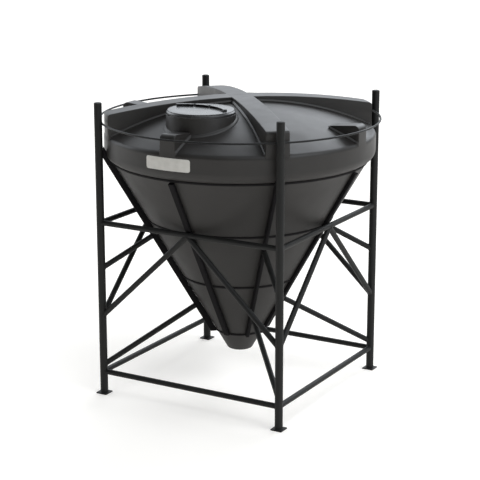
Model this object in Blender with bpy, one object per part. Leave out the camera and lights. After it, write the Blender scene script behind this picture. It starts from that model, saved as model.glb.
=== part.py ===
"""Cone-bottom tank of moulded polyethylene, held in a welded tube stand.

The tank axis is the Z axis and the ground is Z = 0. The four posts stand at the corners of a square
whose sides face -Y (front), +X (right), +Y (back) and -X (left). Sizes are in metres.
"""
import math

import bmesh
import bpy
from mathutils import Matrix, Vector, geometry

# Tank
TANK_RADIUS = 1.195
TANK_WALL = 0.010
CONE_ANGLE = math.radians(60)
CONE_APEX_HEIGHT = 0.137
CONE_BOTTOM_HEIGHT = 0.325
CONE_BOTTOM_ROUNDING = 0.030
SHOULDER_ROUNDING = 0.090
SHOULDER_HEIGHT = 2.190
WALL_TOP_HEIGHT = 2.305
TANK_SEGMENTS = 64

# Roof: a shallow dome with four raised arms, four dormers and a manway neck
ROOF_RIM_HEIGHT = 2.332
ROOF_CROWN_HEIGHT = 2.601
ROOF_SKIN = 0.010
ARM_WIDTH = 0.193
ARM_CROWN_HEIGHT = 2.645
ARM_END_HEIGHT = 2.538
ARM_CORNER_ROUNDING = 0.035
DORMER_WIDTH = 0.140
DORMER_INNER_RADIUS = 0.915
DORMER_INNER_HEIGHT = 2.470
DORMER_OUTER_HEIGHT = 2.490
DORMER_CORNER = 0.045
MANWAY_OFFSET = 0.656
NECK_RADIUS = 0.292
NECK_HEIGHT = 2.585
MANWAY_RADIUS = 0.250
LID_RADIUS = 0.298
LID_TOP_RADIUS = 0.283
LID_THICKNESS = 0.036
LID_BEVEL_HEIGHT = 0.010
LID_PLUG_DEPTH = 0.020
LID_PLUG_CLEARANCE = 0.004
GRIP_HEIGHT = 0.0234
GRIP_WIDTH = 0.040
GRIP_ARC_RADIUS = 0.425
GRIP_ARC_CENTRE = -0.371
GRIP_SPANS = ((-35.0, -14.4), (-11.0, 4.3), (6.9, 38.5))

# Stand
POST_SPACING = 1.783
STAND_HEIGHT = 2.636
POST_RADIUS = 0.03175
POST_CAP_HEIGHT = 0.006
POST_CAP_RADIUS = 0.025
RAIL_RADIUS = 0.0212
HOOP_BAR_RADIUS = 0.0065
HOOP_RADIUS = 1.2335
HOOP_HEIGHT = 2.453
BASE_PLATE_SIDE = 0.108
BASE_PLATE_THICKNESS = 0.010
BOTTOM_RAIL_HEIGHT = 0.204
KNEE_TOP_HEIGHT = 1.565
KNEE_FOOT_HEIGHT = 0.722
UPPER_STRUT_HEIGHT = 1.159
LOWER_STRUT_HEIGHT = 0.2655

# Cradle: box-section ribs down the cone, on edge at the corners and flat on the sides, over four rings
RING_HEIGHTS = (2.092, 1.566, 1.036, 0.508)
RING_BAR_HEIGHT = 0.020
RING_BAR_THICKNESS = 0.006
RIB_BROAD = 0.050
RIB_NARROW = 0.025
RIB_BOTTOM_HEIGHT = 0.500
FACE_RIB_TOP_HEIGHT = 2.070

BRACE_ROLL = math.radians(7)
GAP = 0.0003
OVERSHOOT = 0.004
CUTTER_TOP = 3.0

HALF_SPACING = POST_SPACING / 2
POST_CIRCLE = HALF_SPACING * math.sqrt(2)
RIB_BASE = RING_BAR_THICKNESS + 2 * GAP
RAIL_OFF_CONE = (RIB_BASE + RIB_NARROW + GAP + RAIL_RADIUS) / math.sin(CONE_ANGLE)
MID_RAIL_HEIGHT = CONE_APEX_HEIGHT + (HALF_SPACING - RAIL_OFF_CONE) * math.tan(CONE_ANGLE)
SIDES = {"front": 0, "right": 1, "back": 2, "left": 3}
CORNERS = {"front_right": 0, "back_right": 1, "back_left": 2, "front_left": 3}


def material(name, colour, roughness, metallic):
    """A plain surface with one colour, roughness and metallic value."""
    surface = bpy.data.materials.new(name)
    surface.use_nodes = True
    shader = surface.node_tree.nodes["Principled BSDF"]
    shader.inputs["Base Color"].default_value = (*colour, 1.0)
    shader.inputs["Roughness"].default_value = roughness
    shader.inputs["Metallic"].default_value = metallic
    return surface


def place(mesh, name, surface, parent=None, smooth_angle=30):
    """Give a mesh its object, its material and soft shading across its round faces."""
    made = bpy.data.objects.new(name, mesh)
    bpy.context.collection.objects.link(made)
    if surface:
        mesh.materials.append(surface)
    mesh.shade_smooth()
    mesh.set_sharp_from_angle(angle=math.radians(smooth_angle))
    made.parent = parent
    return made


def hide_as_cutter(made):
    """Keep an object only as the tool of a Boolean cut."""
    made.hide_render = True
    made.display_type = "WIRE"
    return made


def combine(target, tool, operation="DIFFERENCE"):
    """Cut a tool from its target, or join it on."""
    step = target.modifiers.new(f"{operation.lower()} {tool.name}", "BOOLEAN")
    step.operation = operation
    step.solver = "EXACT"
    step.object = tool


def mesh_from(shape, name):
    """Turn a finished bmesh into a mesh whose faces point outwards."""
    bmesh.ops.recalc_face_normals(shape, faces=shape.faces)
    mesh = bpy.data.meshes.new(name)
    shape.to_mesh(mesh)
    shape.free()
    return mesh


def turned(name, profile, segments, first_angle=0.0):
    """Turn a profile of (radius, height) points about Z; a point on the axis closes the shape."""
    shape = bmesh.new()
    rings = []
    for radius, height in profile:
        if radius < 1e-6:
            rings.append([shape.verts.new((0, 0, height))])
            continue
        angles = [first_angle + 2 * math.pi * step / segments for step in range(segments)]
        rings.append([shape.verts.new((radius * math.cos(a), radius * math.sin(a), height)) for a in angles])
    closed = profile[0][0] > 1e-6
    pairs = zip(rings, rings[1:] + rings[:1]) if closed else zip(rings, rings[1:])
    for lower, upper in pairs:
        for step in range(segments):
            after = (step + 1) % segments
            corners = [lower[step % len(lower)], lower[after % len(lower)],
                       upper[after % len(upper)], upper[step % len(upper)]]
            shape.faces.new(dict.fromkeys(corners))
    return mesh_from(shape, name)


def extruded(name, outline, width):
    """Carry a closed outline in the XZ plane to both sides of it, along Y."""
    shape = bmesh.new()
    near = [shape.verts.new((x, -width / 2, z)) for x, z in outline]
    face = shape.faces.new(near)
    swept = bmesh.ops.extrude_face_region(shape, geom=[face])
    moved = [item for item in swept["geom"] if isinstance(item, bmesh.types.BMVert)]
    bmesh.ops.translate(shape, verts=moved, vec=(0, width, 0))
    return mesh_from(shape, name)


def bar_mesh(name, length, radius, sides, roll):
    """A round bar centred on its own origin and lying along Z, its facets turned by a roll."""
    shape = bmesh.new()
    bmesh.ops.create_cone(shape, cap_ends=True, segments=sides, radius1=radius, radius2=radius, depth=length)
    bmesh.ops.rotate(shape, matrix=Matrix.Rotation(roll, 3, "Z"), verts=shape.verts)
    return mesh_from(shape, name)


def round_bar(name, start, end, radius, surface, parent=None, sides=16, roll=0.0):
    """A straight round bar from one point to another."""
    start, end = Vector(start), Vector(end)
    made = place(bar_mesh(name, (end - start).length, radius, sides, roll), name, surface, parent)
    made.location = (start + end) / 2
    made.rotation_euler = (end - start).to_track_quat("Z", "Y").to_euler()
    return made


def quarter_turn(name, turns, offset=0.0):
    """An empty at the tank axis, turned so that its +X looks along one side or diagonal."""
    axis = bpy.data.objects.new(name, None)
    bpy.context.collection.objects.link(axis)
    axis.rotation_euler = (0, 0, -math.pi / 2 + turns * math.pi / 2 + offset)
    return axis


def cone_radius(height, offset=0.0):
    """Radius of the cone's outside at a height, moved out square to it by an offset."""
    return (height - CONE_APEX_HEIGHT) / math.tan(CONE_ANGLE) + offset / math.sin(CONE_ANGLE)


def arc(centre, radius, start, end, steps):
    """Points on an arc, with its angles in radians from +X."""
    angles = [start + (end - start) * step / steps for step in range(steps + 1)]
    return [(centre[0] + radius * math.cos(a), centre[1] + radius * math.sin(a)) for a in angles]


def tank_outline(inset):
    """Half outline of the tank from its bottom centre up to the rim, moved inwards by an inset.

    The wall rounds under at the shoulder and meets the cone in a crease.
    """
    radius = TANK_RADIUS - inset
    lean = math.pi / 2 - CONE_ANGLE
    apex = CONE_APEX_HEIGHT + inset / math.cos(CONE_ANGLE)
    bottom = CONE_BOTTOM_HEIGHT + inset
    corner = CONE_BOTTOM_ROUNDING - inset
    shoulder = SHOULDER_ROUNDING - inset
    corner_r = (bottom - apex) / math.tan(CONE_ANGLE) - corner * math.tan(CONE_ANGLE / 2)
    shoulder_r = radius - shoulder
    off_cone = (SHOULDER_HEIGHT - apex) * math.cos(CONE_ANGLE) - shoulder_r * math.sin(CONE_ANGLE)
    crease = -lean - math.acos(off_cone / shoulder)
    points = [(0, bottom)]
    points += arc((corner_r, bottom + corner), corner, -math.pi / 2, -lean, 4)
    points += arc((shoulder_r, SHOULDER_HEIGHT), shoulder, crease, 0, 6)
    return points + [(radius, WALL_TOP_HEIGHT)]


def dome_height(radius, drop=0.0):
    """Height of the roof's round dome over a radius."""
    rise = ROOF_CROWN_HEIGHT - ROOF_RIM_HEIGHT
    ball = (TANK_RADIUS ** 2 + rise ** 2) / (2 * rise)
    return ROOF_CROWN_HEIGHT - ball + math.sqrt(ball ** 2 - radius ** 2) - drop


def dome_solid(name, radius, base, drop, steps=7):
    """A solid dome from a flat base up to the roof's curve, lowered by a drop."""
    top = [(radius * step / steps, dome_height(radius * step / steps, drop)) for step in range(steps, -1, -1)]
    return turned(name, [(0, base), (radius, base)] + top, TANK_SEGMENTS, math.pi / TANK_SEGMENTS)


def arm_outline(reach, drop, base):
    """Side view of a pair of arms: an arched top that drops over a rounded corner at each end."""
    fall = ARM_CROWN_HEIGHT - ARM_END_HEIGHT
    ball = (TANK_RADIUS ** 2 + fall ** 2) / (2 * fall)
    corner = ARM_CORNER_ROUNDING - drop
    inner = reach - corner
    crown = [(inner * step / 6, ARM_CROWN_HEIGHT - ball + math.sqrt(ball ** 2 - (inner * step / 6) ** 2) - drop)
             for step in range(7)]
    end = arc((inner, crown[-1][1] - corner), corner, math.pi / 2, 0, 4)[1:] + [(reach, base)]
    right = crown + end
    left = [(-x, z) for x, z in reversed(right[1:])]
    return left + right


def add_tank(plastic):
    """The moulded shell: upright wall, cone and closed bottom, open at the top under the roof."""
    outline = tank_outline(0) + list(reversed(tank_outline(TANK_WALL)))
    place(turned("tank_shell", outline, TANK_SEGMENTS), "tank_shell", plastic)


def arm_pair(name, turn, floor):
    """Two opposite arms as one solid, and the solid that hollows them from below."""
    hollow_reach = TANK_RADIUS - TANK_WALL - OVERSHOOT
    outside = extruded(name, arm_outline(TANK_RADIUS + OVERSHOOT, 0, floor), ARM_WIDTH)
    inside = extruded(f"{name}_hollow", arm_outline(hollow_reach, ROOF_SKIN, floor), ARM_WIDTH - 2 * ROOF_SKIN)
    pair = [hide_as_cutter(place(mesh, mesh.name, None)) for mesh in (outside, inside)]
    for piece in pair:
        piece.rotation_euler = (0, 0, math.pi / 4 + turn * math.pi / 2)
    return pair


def dormer_outline(inner, outer, drop, floor):
    """Side view of a dormer: a sloping top, a rounded outer corner and upright ends."""
    corner = DORMER_CORNER - drop
    top = DORMER_OUTER_HEIGHT - drop
    rounding = arc((outer - corner, top - corner), corner, 0, math.pi / 2, 3)
    return [(inner, floor), (outer, floor)] + rounding + [(inner, DORMER_INNER_HEIGHT - drop)]


def dormer(side, floor):
    """One dormer as a solid, and the solid that hollows it from below."""
    axis = quarter_turn(f"dormer_axis_{side}", SIDES[side])
    outer = dormer_outline(DORMER_INNER_RADIUS, TANK_RADIUS + OVERSHOOT, 0, floor)
    inner = dormer_outline(DORMER_INNER_RADIUS + ROOF_SKIN, TANK_RADIUS - TANK_WALL, ROOF_SKIN, floor)
    outside = extruded(f"dormer_{side}", outer, DORMER_WIDTH)
    inside = extruded(f"dormer_hollow_{side}", inner, DORMER_WIDTH - 2 * ROOF_SKIN)
    return [hide_as_cutter(place(mesh, mesh.name, None, axis)) for mesh in (outside, inside)]


def add_roof(plastic):
    """The domed roof skin, with hollow arms and dormers standing on it and the manway neck."""
    base = WALL_TOP_HEIGHT + GAP
    floor = base - OVERSHOOT
    roof = place(dome_solid("roof", TANK_RADIUS + 4 * OVERSHOOT, floor - OVERSHOOT, 0), "roof", plastic)
    raised = [arm_pair("arms_rising", 0, floor), arm_pair("arms_falling", 1, floor)]
    raised += [dormer(side, floor) for side in SIDES]
    for outside, _ in raised:
        combine(roof, outside, "UNION")
    manway = Vector((0, -MANWAY_OFFSET, 0))
    low, high = Vector((0, 0, floor)), Vector((0, 0, NECK_HEIGHT))
    neck = hide_as_cutter(round_bar("neck", manway + low, manway + high, NECK_RADIUS, None, sides=48))
    combine(roof, neck, "UNION")
    drum = [(0, base), (TANK_RADIUS, base), (TANK_RADIUS, CUTTER_TOP), (0, CUTTER_TOP)]
    combine(roof, hide_as_cutter(place(turned("roof_limit", drum, TANK_SEGMENTS), "roof_limit", None)), "INTERSECT")
    under_dome = dome_solid("dome_hollow", TANK_RADIUS - TANK_WALL, floor, ROOF_SKIN)
    combine(roof, hide_as_cutter(place(under_dome, "dome_hollow", None)))
    for _, inside in raised:
        combine(roof, inside)
    hole = round_bar("manway_hole", manway, manway + Vector((0, 0, CUTTER_TOP)), MANWAY_RADIUS, None, sides=48)
    combine(roof, hide_as_cutter(hole))


def lid_grips(seat, top):
    """Raised grips along an arc across the lid, as upright blocks that start inside it."""
    shape = bmesh.new()
    for span in GRIP_SPANS:
        start, end = (math.pi / 2 - math.radians(angle) for angle in span)
        near = arc((0, GRIP_ARC_CENTRE), GRIP_ARC_RADIUS, start, end, 4)
        far = arc((0, GRIP_ARC_CENTRE), GRIP_ARC_RADIUS + GRIP_WIDTH, end, start, 4)
        face = shape.faces.new([shape.verts.new((x, y, seat)) for x, y in near + far])
        swept = bmesh.ops.extrude_face_region(shape, geom=[face])
        raised = [item for item in swept["geom"] if isinstance(item, bmesh.types.BMVert)]
        bmesh.ops.translate(shape, verts=raised, vec=(0, 0, top - seat))
    return hide_as_cutter(place(mesh_from(shape, "lid_grips"), "lid_grips", None))


def add_lid(plastic):
    """The round lid on the manway neck, with a bevelled rim, raised grips and a plug in the hole."""
    seat = NECK_HEIGHT + GAP
    top = seat + LID_THICKNESS
    plug = MANWAY_RADIUS - LID_PLUG_CLEARANCE
    profile = [(0, seat - LID_PLUG_DEPTH), (plug, seat - LID_PLUG_DEPTH), (plug, seat), (LID_RADIUS, seat),
               (LID_RADIUS, top - LID_BEVEL_HEIGHT), (LID_TOP_RADIUS, top), (0, top)]
    lid = place(turned("hatch_lid", profile, 48), "hatch_lid", plastic)
    grips = lid_grips(seat + LID_BEVEL_HEIGHT, top + GRIP_HEIGHT)
    combine(lid, grips, "UNION")
    for piece in (lid, grips):
        piece.location = (0, -MANWAY_OFFSET, 0)


def add_posts(steel):
    """Round posts with a slightly domed cap, each welded to a square base plate."""
    for corner, turns in CORNERS.items():
        axis = quarter_turn(f"corner_{corner}", turns, math.pi / 4)
        foot = BASE_PLATE_THICKNESS / 2
        profile = [(0, foot), (POST_RADIUS, foot), (POST_RADIUS, STAND_HEIGHT - POST_CAP_HEIGHT),
                   (POST_CAP_RADIUS, STAND_HEIGHT - POST_CAP_HEIGHT / 3), (0, STAND_HEIGHT)]
        post = place(turned(f"post_{corner}", profile, 24), f"post_{corner}", steel, axis)
        post.location = (POST_CIRCLE, 0, 0)
        shape = bmesh.new()
        bmesh.ops.create_cube(shape, size=1)
        bmesh.ops.scale(shape, vec=(BASE_PLATE_SIDE, BASE_PLATE_SIDE, BASE_PLATE_THICKNESS), verts=shape.verts)
        plate = hide_as_cutter(place(mesh_from(shape, f"plate_{corner}"), f"plate_{corner}", None, axis))
        plate.location = (POST_CIRCLE, 0, BASE_PLATE_THICKNESS / 2)
        plate.rotation_euler = (0, 0, math.pi / 4)
        combine(post, plate, "UNION")
        hide_as_cutter(round_bar(f"post_cut_{corner}", (POST_CIRCLE, 0, 0), (POST_CIRCLE, 0, CUTTER_TOP),
                                 POST_RADIUS + GAP, None, axis, sides=24))


def cut_by_posts(piece, corners):
    """Fit a piece's ends to the round posts."""
    for corner in corners:
        combine(piece, bpy.data.objects[f"post_cut_{corner}"])


def add_rails(steel):
    """Bottom and mid rails on each side, between the posts."""
    corners = list(CORNERS)
    for side, turns in SIDES.items():
        axis = quarter_turn(f"side_{side}", turns)
        ends = (corners[turns], corners[turns - 1])
        for level, height in (("bottom_rail", BOTTOM_RAIL_HEIGHT), ("mid_rail", MID_RAIL_HEIGHT)):
            rail = round_bar(f"{level}_{side}", (HALF_SPACING, -HALF_SPACING, height),
                             (HALF_SPACING, HALF_SPACING, height), RAIL_RADIUS, steel, axis)
            cut_by_posts(rail, ends)
        hide_as_cutter(round_bar(f"mid_rail_cut_{side}", (HALF_SPACING, -HALF_SPACING, MID_RAIL_HEIGHT),
                                 (HALF_SPACING, HALF_SPACING, MID_RAIL_HEIGHT), RAIL_RADIUS + GAP, None, axis))


def rib_outline(depth, bottom, top):
    """Side view of a rib lying on the rings, with level ends."""
    outer = RIB_BASE + depth
    return [(cone_radius(bottom, RIB_BASE), bottom), (cone_radius(bottom, outer), bottom),
            (cone_radius(top, outer), top), (cone_radius(top, RIB_BASE), top)]


def add_ribs(steel):
    """Eight ribs down the cone: on edge from the posts, coped round the shoulder, and flat on the sides."""
    shoulder = turned("shoulder_cut", tank_outline(-GAP) + [(0, WALL_TOP_HEIGHT)], TANK_SEGMENTS)
    shoulder_cut = hide_as_cutter(place(shoulder, "shoulder_cut", None))
    drum = [(0, 0), (POST_CIRCLE, 0), (POST_CIRCLE, STAND_HEIGHT), (0, STAND_HEIGHT)]
    rib_limit = hide_as_cutter(place(turned("rib_limit", drum, TANK_SEGMENTS), "rib_limit", None))
    for corner in CORNERS:
        outline = rib_outline(RIB_BROAD, RIB_BOTTOM_HEIGHT, STAND_HEIGHT)
        axis = bpy.data.objects[f"corner_{corner}"]
        rib = place(extruded(f"corner_rib_{corner}", outline, RIB_NARROW), f"corner_rib_{corner}", steel, axis)
        combine(rib, rib_limit, "INTERSECT")
        combine(rib, shoulder_cut)
        cut_by_posts(rib, [corner])
    for side in SIDES:
        outline = rib_outline(RIB_NARROW, RIB_BOTTOM_HEIGHT, FACE_RIB_TOP_HEIGHT)
        axis = bpy.data.objects[f"side_{side}"]
        place(extruded(f"face_rib_{side}", outline, RIB_BROAD), f"face_rib_{side}", steel, axis)


def add_knees(steel):
    """Two braces on each side, from the middle of the mid rail down to the posts."""
    corners = list(CORNERS)
    for side, turns in SIDES.items():
        axis = bpy.data.objects[f"side_{side}"]
        for hand, sign, corner in (("right", 1, corners[turns]), ("left", -1, corners[turns - 1])):
            name = f"knee_brace_{side}_{hand}"
            foot = Vector((HALF_SPACING, sign * HALF_SPACING, KNEE_FOOT_HEIGHT))
            head = Vector((HALF_SPACING, 0, KNEE_TOP_HEIGHT))
            head += (head - foot).normalized() * RAIL_RADIUS
            brace = round_bar(name, foot, head, RAIL_RADIUS, steel, axis, roll=BRACE_ROLL)
            placed = brace.matrix_basis
            shape = bmesh.new()
            shape.from_mesh(brace.data)
            shape.transform(placed)
            everything = shape.verts[:] + shape.edges[:] + shape.faces[:]
            cut = bmesh.ops.bisect_plane(shape, geom=everything, plane_co=(0, sign * GAP / 2, 0),
                                         plane_no=(0, -sign, 0), clear_outer=True)
            edges = [item for item in cut["geom_cut"] if isinstance(item, bmesh.types.BMEdge)]
            bmesh.ops.contextual_create(shape, geom=edges)
            shape.transform(placed.inverted())
            bmesh.ops.recalc_face_normals(shape, faces=shape.faces)
            shape.to_mesh(brace.data)
            shape.free()
            cut_by_posts(brace, [corner])
            combine(brace, bpy.data.objects[f"mid_rail_cut_{side}"])


def add_struts(steel):
    """Slanted struts that prop each corner rib from its post, square to the rib."""
    rib_foot, rib_head = rib_outline(RIB_BROAD, 0, STAND_HEIGHT)[1:3]
    slope = math.tan(math.pi / 2 - CONE_ANGLE)
    for corner in CORNERS:
        axis = bpy.data.objects[f"corner_{corner}"]
        for level, height in (("upper_strut", UPPER_STRUT_HEIGHT), ("lower_strut", LOWER_STRUT_HEIGHT)):
            start = Vector((POST_CIRCLE, 0, height))
            meeting = geometry.intersect_line_line_2d(
                (POST_CIRCLE, height), (0, height + slope * POST_CIRCLE), rib_foot, rib_head)
            end = Vector((meeting[0], 0, meeting[1]))
            end += (start - end).normalized() * GAP
            strut = round_bar(f"{level}_{corner}", start, end, RAIL_RADIUS, steel, axis)
            cut_by_posts(strut, [corner])


def add_rings(steel):
    """Flat-bar rings lying flush on the cone, one at each level, under the ribs."""
    out = RING_BAR_THICKNESS * math.sin(CONE_ANGLE)
    down = RING_BAR_THICKNESS * math.cos(CONE_ANGLE)
    half = RING_BAR_HEIGHT / 2 * math.sin(CONE_ANGLE)
    for level, height in enumerate(RING_HEIGHTS, 1):
        low, high = height - half, height + half
        low_r, high_r = cone_radius(low, GAP), cone_radius(high, GAP)
        section = [(low_r, low), (low_r + out, low - down), (high_r + out, high - down), (high_r, high)]
        place(turned(f"cone_ring_{level}", section, TANK_SEGMENTS), f"cone_ring_{level}", steel)


def add_top_hoop(steel):
    """A round bar bent to a quarter circle on each side, welded between the posts."""
    corners = list(CORNERS)
    for side, turns in SIDES.items():
        axis = bpy.data.objects[f"side_{side}"]
        shape = bmesh.new()
        circle = bmesh.ops.create_circle(shape, cap_ends=True, segments=8, radius=HOOP_BAR_RADIUS)
        upright = Matrix.Translation((HOOP_RADIUS, 0, HOOP_HEIGHT)) @ Matrix.Rotation(math.pi / 2, 4, "X")
        bmesh.ops.transform(shape, matrix=upright, verts=circle["verts"])
        bmesh.ops.rotate(shape, matrix=Matrix.Rotation(-math.pi / 4, 3, "Z"), verts=shape.verts)
        bmesh.ops.spin(shape, geom=shape.faces[:], axis=(0, 0, 1), cent=(0, 0, 0), angle=math.pi / 2,
                       steps=TANK_SEGMENTS // 4)
        bmesh.ops.remove_doubles(shape, verts=shape.verts, dist=1e-6)
        hoop = place(mesh_from(shape, f"top_hoop_{side}"), f"top_hoop_{side}", steel, axis)
        cut_by_posts(hoop, (corners[turns], corners[turns - 1]))


for leftover in list(bpy.data.objects):
    bpy.data.objects.remove(leftover)
black_plastic = material("moulded black polyethylene", (0.045, 0.045, 0.043), 0.45, 0.0)
painted_steel = material("black painted steel", (0.020, 0.020, 0.019), 0.50, 0.0)
add_tank(black_plastic)
add_roof(black_plastic)
add_lid(black_plastic)
add_posts(painted_steel)
add_rails(painted_steel)
add_ribs(painted_steel)
add_knees(painted_steel)
add_struts(painted_steel)
add_rings(painted_steel)
add_top_hoop(painted_steel)
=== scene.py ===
"""A moulded cone bottom tank in its welded tube stand, dressed and lit for a catalogue picture.

Each section makes one piece of the real thing, in the order in which the whole is put together: the
stand first, then the tank, its roof, neck and lid, and last the floor, the light and the camera.
Lengths are in metres, the tank's axis is the Z axis, and the front is the side at -Y.
"""

import bpy
import numpy as np
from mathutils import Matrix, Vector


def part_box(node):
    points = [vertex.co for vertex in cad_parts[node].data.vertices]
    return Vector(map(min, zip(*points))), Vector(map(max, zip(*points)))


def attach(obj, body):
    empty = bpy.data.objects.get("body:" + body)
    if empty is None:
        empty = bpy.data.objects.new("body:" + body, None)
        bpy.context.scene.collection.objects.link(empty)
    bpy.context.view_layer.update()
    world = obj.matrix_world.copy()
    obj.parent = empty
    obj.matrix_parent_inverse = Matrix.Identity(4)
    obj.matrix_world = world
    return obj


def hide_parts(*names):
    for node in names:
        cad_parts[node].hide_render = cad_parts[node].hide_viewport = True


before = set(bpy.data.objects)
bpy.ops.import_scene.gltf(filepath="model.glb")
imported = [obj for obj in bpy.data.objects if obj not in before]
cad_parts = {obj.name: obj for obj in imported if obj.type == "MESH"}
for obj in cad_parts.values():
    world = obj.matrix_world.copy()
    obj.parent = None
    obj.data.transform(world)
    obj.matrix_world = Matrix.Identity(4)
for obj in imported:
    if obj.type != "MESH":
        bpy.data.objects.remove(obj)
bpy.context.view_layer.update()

# Stand finish
# The tube stand is mild steel, welded, blasted and coated with black polyester powder.
# The coat lies over every weld, so one finish runs over the whole stand.


def linear(hex_colour):
    """The linear colour of an sRGB hex value."""
    channels = np.array([int(hex_colour[i:i + 2], 16) for i in (1, 3, 5)]) / 255
    low, high = channels / 12.92, ((channels + 0.055) / 1.055) ** 2.4
    return (*np.where(channels <= 0.04045, low, high), 1.0)


def node(tree, kind, links=(), **settings):
    """Add one node; settings are its own properties or its inputs, and links feed its inputs."""
    made = tree.nodes.new(kind)
    for key, value in settings.items():
        if hasattr(made, key):
            setattr(made, key, value)
        else:
            made.inputs[key.replace("_", " ")].default_value = value
    for socket, source in links:
        tree.links.new(source, made.inputs[socket])
    return made


def blank_finish(name):
    """A new material, its node tree and its shader."""
    finish = bpy.data.materials.new(name)
    finish.use_nodes = True
    return finish, finish.node_tree, finish.node_tree.nodes["Principled BSDF"]


def two_tones(tree, pattern, dark, light, start=0.0, end=1.0):
    """Two hex colours, blended over part of a pattern's range."""
    tone = node(tree, "ShaderNodeValToRGB", [("Fac", pattern.outputs["Fac"])])
    for stop, position, colour in zip(tone.color_ramp.elements, (start, end), (dark, light)):
        stop.position = position
        stop.color = linear(colour)
    return tone.outputs["Color"]


DUST_CLOUD = 0.30
ORANGE_PEEL = 0.008
PEEL_DEPTH = 0.0006


def powder_coated_steel(name, dark, light, glossy, matt, refraction):
    """Black polyester powder on steel: satin, with a fine orange peel and a little dust on it.

    The peel is about 4 mm from crest to crest, drawn twice as coarse as it is, so that it shows.
    Refraction is the coat's index: the lower it is, the weaker the gloss.
    """
    finish, tree, shader = blank_finish(name)
    shader.inputs["IOR"].default_value = refraction
    place = node(tree, "ShaderNodeTexCoord").outputs["Object"]
    cloud = node(tree, "ShaderNodeTexNoise", [("Vector", place)], Scale=1 / DUST_CLOUD, Detail=3.0)
    peel = node(tree, "ShaderNodeTexNoise", [("Vector", place)], Scale=1 / ORANGE_PEEL, Detail=2.0)
    gloss = node(tree, "ShaderNodeMapRange", [("Value", cloud.outputs["Fac"])],
                 To_Min=glossy, To_Max=matt)
    relief = node(tree, "ShaderNodeBump", [("Height", peel.outputs["Fac"])],
                  Strength=0.12, Distance=PEEL_DEPTH)
    tree.links.new(two_tones(tree, cloud, dark, light, 0.30, 0.72), shader.inputs["Base Color"])
    tree.links.new(gloss.outputs["Result"], shader.inputs["Roughness"])
    tree.links.new(relief.outputs["Normal"], shader.inputs["Normal"])
    return finish


stand_coat = powder_coated_steel("black powder coated steel", "#161616", "#1e1e1c", 0.50, 0.64, 1.32)

# Posts
# Four round tubes of 69 mm, closed at the top by a slightly domed plug, stand on square plates.
# Tube and plate are welded all round, and the plates rest on the ground.


def carried(rings, joined=False):
    """Quads from each closed ring of points to the next; fans close both ends, or the ends are joined."""
    count, around = rings.shape[:2]
    index = np.arange(count * around).reshape(count, around)
    near = index if joined else index[:-1]
    far = np.roll(index, -1, 0) if joined else index[1:]
    quads = np.stack([near, np.roll(near, -1, 1), np.roll(far, -1, 1), far], -1).reshape(-1, 4).tolist()
    points = rings.reshape(-1, 3)
    if joined:
        return points, quads
    ends = np.array([rings[0].mean(0), rings[-1].mean(0)])
    fans = [(count * around, b, a) for a, b in zip(index[0], np.roll(index[0], -1))]
    fans += [(count * around + 1, a, b) for a, b in zip(index[-1], np.roll(index[-1], -1))]
    return np.vstack([points, ends]), quads + fans


def facing_out(points, faces):
    """Turn a closed surface's faces outwards, by the sign of the volume that they enclose."""
    corners = np.array([(f[0], f[i], f[i + 1]) for f in faces for i in range(1, len(f) - 1)])
    a, b, c = (points[corners[:, i]] for i in range(3))
    volume = np.einsum("ij,ij->i", a, np.cross(b, c)).sum()
    return faces if volume > 0 else [tuple(reversed(face)) for face in faces]


def piece(name, surfaces, finish, stands_for=(), crease=35.0):
    """One named piece from closed surfaces, in its place, riding with the stand and the tank."""
    points, faces, first = [], [], 0
    for surface_points, surface_faces in surfaces:
        turned_out = facing_out(surface_points, surface_faces)
        faces += [tuple(int(i) + first for i in face) for face in turned_out]
        points.append(surface_points)
        first += len(surface_points)
    mesh = bpy.data.meshes.new(name)
    mesh.from_pydata(np.vstack(points).tolist(), [], faces)
    mesh.materials.append(finish)
    mesh.shade_smooth()
    mesh.set_sharp_from_angle(angle=np.radians(crease))
    made = bpy.data.objects.new(name, mesh)
    bpy.context.scene.collection.objects.link(made)
    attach(made, "root")
    if stands_for:
        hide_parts(*stands_for)


def turned(profile, segments, centre=(0.0, 0.0), joined=False):
    """Carry (radius, height) points round an upright axis; a hub closes what reaches the axis."""
    angle = np.linspace(0, 2 * np.pi, segments, endpoint=False)
    profile = np.array(profile, float)
    radius, height = profile[:, :1], profile[:, 1:]
    rings = np.stack([centre[0] + radius * np.cos(angle), centre[1] + radius * np.sin(angle),
                      height + 0 * angle], -1)
    return carried(rings, joined)


def arc(centre, radius, start, end, steps):
    """Points along an arc, its angles in degrees from the first axis."""
    angle = np.radians(np.linspace(start, end, steps + 1))
    return list(zip(centre[0] + radius * np.cos(angle), centre[1] + radius * np.sin(angle)))


def rounded_outline(half_broad, half_deep, corner, steps):
    """The outline of a rectangle with rounded corners, as (x, y) points."""
    points = []
    for quarter, (x, y) in enumerate(((1, 1), (-1, 1), (-1, -1), (1, -1))):
        centre = (x * (half_broad - corner), y * (half_deep - corner))
        points += arc(centre, corner, quarter * 90, quarter * 90 + 90, steps)
    return np.array(points)


HUB = 0.002
POST_RADIUS = 0.0345
POST_LIP = 0.002
POST_FOOT_SUNK = 0.002
POST_ROUNDNESS = 64
PLUG_HEIGHT = 0.006
PLUG_CROWN = 0.0035
PLUG_RIM = 0.0012
PLATE_CORNER = 0.006
PLATE_EDGE = 0.0015
CORNERS = {"front_left": (-1, -1), "front_right": (1, -1), "back_left": (-1, 1), "back_right": (1, 1)}
post_low, post_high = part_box("post_front_right")
POST_AT = (post_low.x + post_high.x) / 2
PLATE_HALF = (post_high.x - post_low.x) / 2
PLATE_TOP = 0.010
STAND_TOP = post_high.z


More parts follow.
